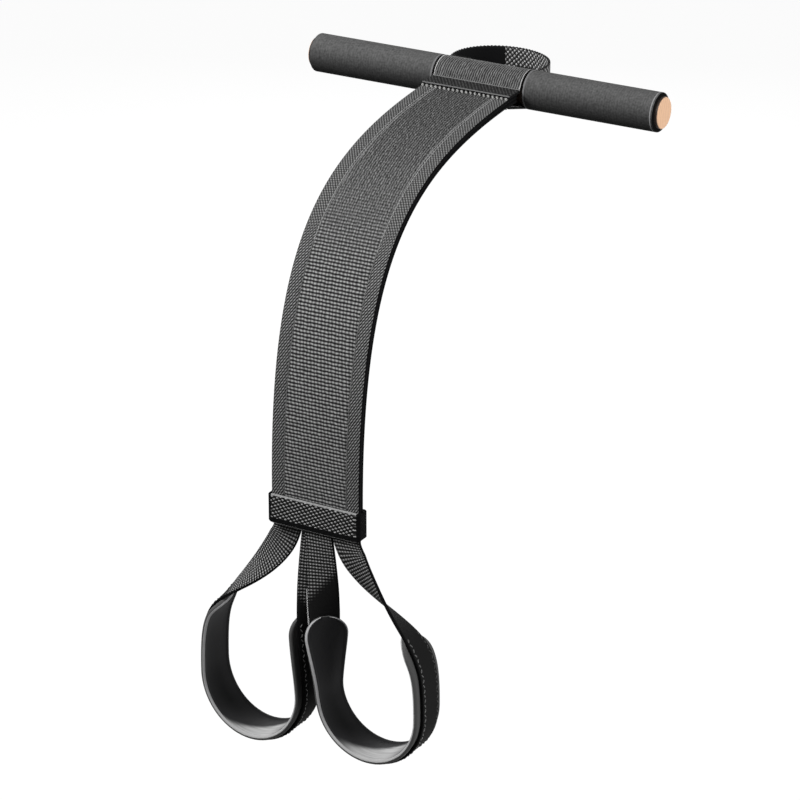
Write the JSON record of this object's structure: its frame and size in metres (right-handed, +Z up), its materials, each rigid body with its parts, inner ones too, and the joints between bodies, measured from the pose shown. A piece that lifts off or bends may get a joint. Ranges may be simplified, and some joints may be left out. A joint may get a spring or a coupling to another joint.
{
  "type": "shoulder pulley",
  "caption": "Foam-covered wooden bar held in a wide webbing strap that curves forward and down to a band with padded hand loops; a small loop stands behind the bar.",
  "frame": {"origin": "middle of the bar's axis, inside the strap's sleeve", "axes": "+X along the bar to the right as seen from the strap's front, +Y to the rear loop's side, +Z up; the strap leaves to -Y and hangs down"},
  "size_m": [0.32, 0.3481, 0.5009],
  "materials": {
    "beech": "sanded, clear oil",
    "grip_foam": "closed-cell foam, satin",
    "webbing": "ribbed woven webbing",
    "band_webbing": "diamond-woven webbing",
    "thread": "light sewing thread",
    "pad_liner": "smooth foam-backed liner, satin"
  },
  "bodies": {
    "strap": {"bar_sleeve": "webbing", "seam_stitching": "thread", "rear_loop_ends": "webbing", "rear_loop_tacks": "thread", "upper_front_ply": "webbing", "upper_back_ply": "webbing", "upper_edge_stitching": "thread"},
    "bar": {"dowel": "beech", "left_grip": "grip_foam", "right_grip": "grip_foam"},
    "rear_loop": {"rear_loop": "webbing"},
    "lower_strap": {"lower_front_ply": "webbing", "lower_back_ply": "webbing", "lower_edge_stitching": "thread", "band": "band_webbing", "band_seam": "thread", "left_loop_ends": "band_webbing", "right_loop_ends": "band_webbing"},
    "right_loop": {"right_loop_strap": "webbing", "right_loop_pad": "pad_liner", "right_loop_stitching": "thread"},
    "left_loop": {"left_loop_strap": "webbing", "left_loop_pad": "pad_liner", "left_loop_stitching": "thread"}
  },
  "joints": [
    {"name": "bar_turn", "type": "hinge", "parent": "strap", "child": "bar", "pos_m": [0, 0, 0], "axis": [1, 0, 0], "continuous": true},
    {"name": "rear_loop_flex", "type": "hinge", "parent": "strap", "child": "rear_loop", "pos_m": [0, 0, 0], "axis": [1, 0, 0], "range_deg": [-25, 25], "stiffness_Nm_per_rad": 0.1, "springref_deg": 1.6},
    {"name": "strap_flex", "type": "hinge", "parent": "strap", "child": "lower_strap", "pos_m": [0, -0.26509, -0.21573], "axis": [1, 0, 0], "range_deg": [-40, 40]},
    {"name": "right_loop_swing", "type": "hinge", "parent": "lower_strap", "child": "right_loop", "pos_m": [0, -0.2687, -0.2922], "axis": [1, 0, 0], "range_deg": [-60, 0]},
    {"name": "left_loop_swing", "type": "hinge", "parent": "lower_strap", "child": "left_loop", "pos_m": [0, -0.2649, -0.2922], "axis": [1, 0, 0], "range_deg": [0, 60]}
  ]
}
